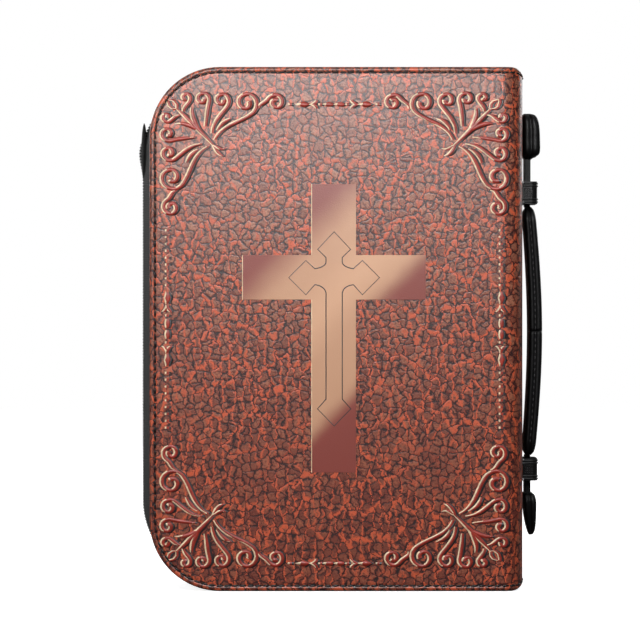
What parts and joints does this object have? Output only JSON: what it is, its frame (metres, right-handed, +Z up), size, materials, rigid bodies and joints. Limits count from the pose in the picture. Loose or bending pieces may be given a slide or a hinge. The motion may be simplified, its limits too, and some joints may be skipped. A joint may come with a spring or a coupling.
{
  "type": "zippered bible case with bible",
  "caption": "Zip-around leather-look carry case standing upright on its tail edge, with a strap handle on the spine and a thick bible held in sleeves inside.",
  "frame": {"origin": "on the supporting surface, under the middle of the whole object's box", "axes": "+Z up from tail to head, +X towards the spine and its handle, -Y out of the front cover"},
  "size_m": [0.1893, 0.0556, 0.245],
  "materials": {
    "printed_leather": "satin crackle print",
    "stiffener_board": "matt",
    "lining_fabric": "matt woven",
    "black_thread": "satin",
    "gusset_fabric": "woven",
    "zip_tape_fabric": "woven",
    "coil_nylon": "satin",
    "bright_metal": "bright",
    "plate_metal": "matt",
    "slider_metal": "satin",
    "handle_leather": "satin grain",
    "keeper_plastic": "satin",
    "grip_foam": "matt",
    "bible_leather": "satin grain",
    "page_paper": "matt",
    "band_cloth": "woven"
  },
  "bodies": {
    "spine": {"spine_skin": "printed_leather", "spine_board": "stiffener_board", "spine_lining": "lining_fabric", "upper_keeper": "keeper_plastic", "lower_keeper": "keeper_plastic", "upper_rivets": "bright_metal", "lower_rivets": "bright_metal", "upper_backing_plate": "plate_metal", "lower_backing_plate": "plate_metal", "bible_spine": "bible_leather", "head_band": "band_cloth", "tail_band": "band_cloth"},
    "front_cover": {"front_cover_skin": "printed_leather", "front_cover_board": "stiffener_board", "front_cover_lining": "lining_fabric", "front_cover_stitching": "black_thread", "front_inner_sleeve": "lining_fabric", "front_bible_cover": "bible_leather", "front_zip_gusset": "gusset_fabric", "front_zip_tape": "zip_tape_fabric", "front_zip_row": "coil_nylon", "front_zip_stops": "bright_metal"},
    "back_cover": {"back_cover_skin": "printed_leather", "back_cover_board": "stiffener_board", "back_cover_lining": "lining_fabric", "back_cover_stitching": "black_thread", "back_inner_sleeve": "lining_fabric", "back_bible_cover": "bible_leather", "back_zip_gusset": "gusset_fabric", "back_zip_tape": "zip_tape_fabric", "back_zip_row": "coil_nylon", "back_zip_stops": "bright_metal"},
    "pages_1": {"page_section_1": "page_paper"},
    "pages_2": {"page_section_2": "page_paper"},
    "pages_3": {"page_section_3": "page_paper"},
    "pages_4": {"page_section_4": "page_paper"},
    "pages_5": {"page_section_5": "page_paper"},
    "pages_6": {"page_section_6": "page_paper"},
    "slider": {"slider_body": "slider_metal"},
    "pull": {"slider_pull": "slider_metal"},
    "grip": {"grip_core": "grip_foam", "grip_cover": "handle_leather"},
    "upper_strap": {"upper_paddle": "handle_leather", "upper_neck": "handle_leather"},
    "lower_strap": {"lower_paddle": "handle_leather", "lower_neck": "handle_leather"}
  },
  "joints": [
    {"name": "front_cover_hinge", "type": "hinge", "parent": "spine", "child": "front_cover", "pos_m": [0.08202, -0.02457, 0.1225], "axis": [0, 0, 1], "range_deg": [0, 95]},
    {"name": "back_cover_hinge", "type": "hinge", "parent": "spine", "child": "back_cover", "pos_m": [0.08202, 0.02457, 0.1225], "axis": [0, 0, -1], "range_deg": [0, 95]},
    {"name": "pages_1_hinge", "type": "hinge", "parent": "spine", "child": "pages_1", "pos_m": [0.07725, -0.0199, 0.1225], "axis": [0, 0, 1], "range_deg": [0, 82.2]},
    {"name": "pages_2_hinge", "type": "hinge", "parent": "spine", "child": "pages_2", "pos_m": [0.07725, -0.01322, 0.1225], "axis": [0, 0, 1], "range_deg": [0, 40.4]},
    {"name": "pages_3_hinge", "type": "hinge", "parent": "spine", "child": "pages_3", "pos_m": [0.07725, -0.00653, 0.1225], "axis": [0, 0, 1], "range_deg": [0, 19.5]},
    {"name": "pages_4_hinge", "type": "hinge", "parent": "spine", "child": "pages_4", "pos_m": [0.07725, 0.00653, 0.1225], "axis": [0, 0, -1], "range_deg": [0, 19.5]},
    {"name": "pages_5_hinge", "type": "hinge", "parent": "spine", "child": "pages_5", "pos_m": [0.07725, 0.01322, 0.1225], "axis": [0, 0, -1], "range_deg": [0, 40.4]},
    {"name": "pages_6_hinge", "type": "hinge", "parent": "spine", "child": "pages_6", "pos_m": [0.07725, 0.0199, 0.1225], "axis": [0, 0, -1], "range_deg": [0, 82.2]},
    {"name": "slider_travel", "type": "slide", "parent": "front_cover", "child": "slider", "axis": [-1, 0, 0], "range_m": [0, 0.1]},
    {"name": "pull_hinge", "type": "hinge", "parent": "slider", "child": "pull", "pos_m": [0.05795, 0, 0.24385], "axis": [0, 1, 0], "range_deg": [0, 165]},
    {"name": "handle_lift", "type": "slide", "parent": "spine", "child": "grip", "axis": [1, 0, 0], "range_m": [0, 0.02]},
    {"name": "upper_strap_slide", "type": "slide", "parent": "grip", "child": "upper_strap", "axis": [-0.9654, 0, -0.2607], "range_m": [0, 0.02082]},
    {"name": "lower_strap_slide", "type": "slide", "parent": "grip", "child": "lower_strap", "axis": [-0.9654, 0, 0.2607], "range_m": [0, 0.02082]}
  ],
  "couplings": [
    {"joint": "pages_1_hinge", "follows": "front_cover_hinge", "ratio": 0.86},
    {"joint": "pages_2_hinge", "follows": "front_cover_hinge", "ratio": 0.42},
    {"joint": "pages_3_hinge", "follows": "front_cover_hinge", "ratio": 0.2},
    {"joint": "pages_4_hinge", "follows": "back_cover_hinge", "ratio": 0.2},
    {"joint": "pages_5_hinge", "follows": "back_cover_hinge", "ratio": 0.42},
    {"joint": "pages_6_hinge", "follows": "back_cover_hinge", "ratio": 0.86},
    {"joint": "upper_strap_slide", "follows": "handle_lift", "ratio": 1.0358},
    {"joint": "lower_strap_slide", "follows": "handle_lift", "ratio": 1.0358}
  ]
}
